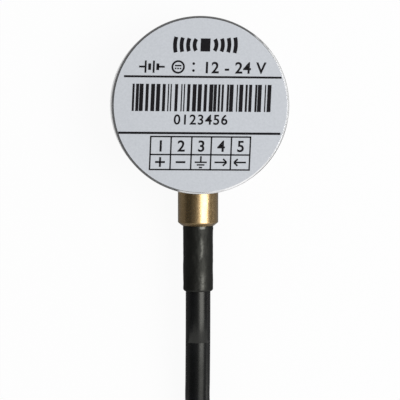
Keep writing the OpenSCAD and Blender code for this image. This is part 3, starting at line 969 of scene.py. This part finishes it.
def softbox(name, zenith_deg, distance, width, length, radiance):
    """An area lamp to the right, tilted to face the sensor, with its brightness given as radiance."""
    lamp = bpy.data.lights.new(name, "AREA")
    lamp.shape = "RECTANGLE"
    lamp.size = width
    lamp.size_y = length
    lamp.energy = radiance * math.pi * width * length
    stand_angle = math.radians(zenith_deg)
    piece = bpy.data.objects.new(name, lamp)
    piece.location = (distance * math.sin(stand_angle), aim.y, distance * math.cos(stand_angle))
    piece.rotation_euler = (0.0, stand_angle, 0.0)
    piece.visible_camera = False
    bpy.context.scene.collection.objects.link(piece)


softbox("right_softbox", zenith_deg=30.4, distance=0.9, width=0.58, length=0.66, radiance=3.2)
print("floor, room and softbox ready")

# %% [markdown]
# Bright metal needs something dark to mirror, so a photographer stands flags and lays cards round it.
# Here each one glows in a set grey, and only reflections see it. Curved flags stand on a dome round the
# sensor, floor cards lie in a ring round it, and flat cards fill single places near it.

# %% Flags and cards
CARD_STEPS = 24
DOME_R = 1.6
FRONT_DOME_R = 1.5
CARD_Z = 0.0002


def flag(name, points, faces, grey):
    """A card that only reflections see, so that it neither shades the object nor shows in a picture."""
    card = stage_piece(name, points, faces)
    material, tree = new_material(name + "_cloth")
    cloth = add(tree, "ShaderNodeEmission", {"Color": WHITE, "Strength": grey})
    add(tree, "ShaderNodeOutputMaterial", {"Surface": cloth.outputs["Emission"]})
    dress(card, material)
    card.visible_camera = False
    card.visible_diffuse = False
    card.visible_shadow = False
    card.visible_transmission = False


def dome_flag(name, turn_from, turn_to, height_from, height_to, grey, radius=DOME_R):
    """A curved card between two compass angles and two heights, all in degrees."""
    row = CARD_STEPS + 1
    points = []
    for i in range(row):
        turn = math.radians(turn_from + (turn_to - turn_from) * i / CARD_STEPS)
        for j in range(row):
            high = math.radians(height_from + (height_to - height_from) * j / CARD_STEPS)
            out = radius * math.cos(high)
            points.append((out * math.cos(turn), aim.y + out * math.sin(turn), radius * math.sin(high)))
    starts = [i * row + j for i in range(CARD_STEPS) for j in range(CARD_STEPS)]
    flag(name, points, [(a, a + 1, a + row + 1, a + row) for a in starts], grey)


def floor_card(name, turn_from, turn_to, near, far, grey, lift=CARD_Z):
    """A card on the floor between two compass angles in degrees and two distances from the axis."""
    turns = [math.radians(turn_from + (turn_to - turn_from) * k / CARD_STEPS) for k in range(CARD_STEPS + 1)]
    points = [(r * math.cos(a), r * math.sin(a), lift) for a in turns for r in (near, far)]
    faces = [(2 * k, 2 * k + 1, 2 * k + 3, 2 * k + 2) for k in range(CARD_STEPS)]
    flag(name, points, faces, grey)


def flat_card(name, corner, across, up, grey):
    """A flat card from one corner and its two sides."""
    corner, across, up = Vector(corner), Vector(across), Vector(up)
    flag(name, [corner, corner + across, corner + across + up, corner + up], [(0, 1, 2, 3)], grey)


dome_flag("left_low_flag", 48, 280, 0.1, 8, 0.15)
dome_flag("left_flag", 20, 280, 8, 52, 0.05)
dome_flag("left_high_flag", 20, 280, 52, 76, 0.12)
dome_flag("top_flag", 20, 280, 76, 89.9, 0.32)
dome_flag("front_flag", 240, 282, 9, 32, 0.22, FRONT_DOME_R)
dome_flag("right_flag", -40, 20, 6, 33, 0.17)
dome_flag("right_low_flag", -18, 10, 0.1, 6, 0.17)
floor_card("left_floor_card", 48, 280, 0.1, 1.6, 0.12)
floor_card("left_grey_card", 48, 280, 0.027, 0.1, 0.45, CARD_Z / 2)
floor_card("long_strip_card", 41, 46.6, 0.1, 1.6, 0.2)
floor_card("short_strip_card", 37, 39.5, 0.1, 1.6, 0.25)
floor_card("right_near_card", -80, 48, 0.0235, 0.085, 0.02, CARD_Z / 2)
flat_card("right_floor_card", (0.0, -0.08, CARD_Z), (0.1, 0.0, 0.0), (0.0, 0.06, 0.0), 0.2)
flat_card("left_near_card", (-0.12, -0.08, CARD_Z), (0.12, 0.0, 0.0), (0.0, 0.06, 0.0), 0.16)
flat_card("brass_card", (0.045, -0.052, 0.0), (0.0, 0.032, 0.0), (0.0, 0.0, 0.0112), 0.2)
flat_card("front_card", (-0.0125, -0.06, 0.01), (0.0325, 0.0, 0.0), (0.0, 0.0, 0.016), 0.75)
print("studio ready")
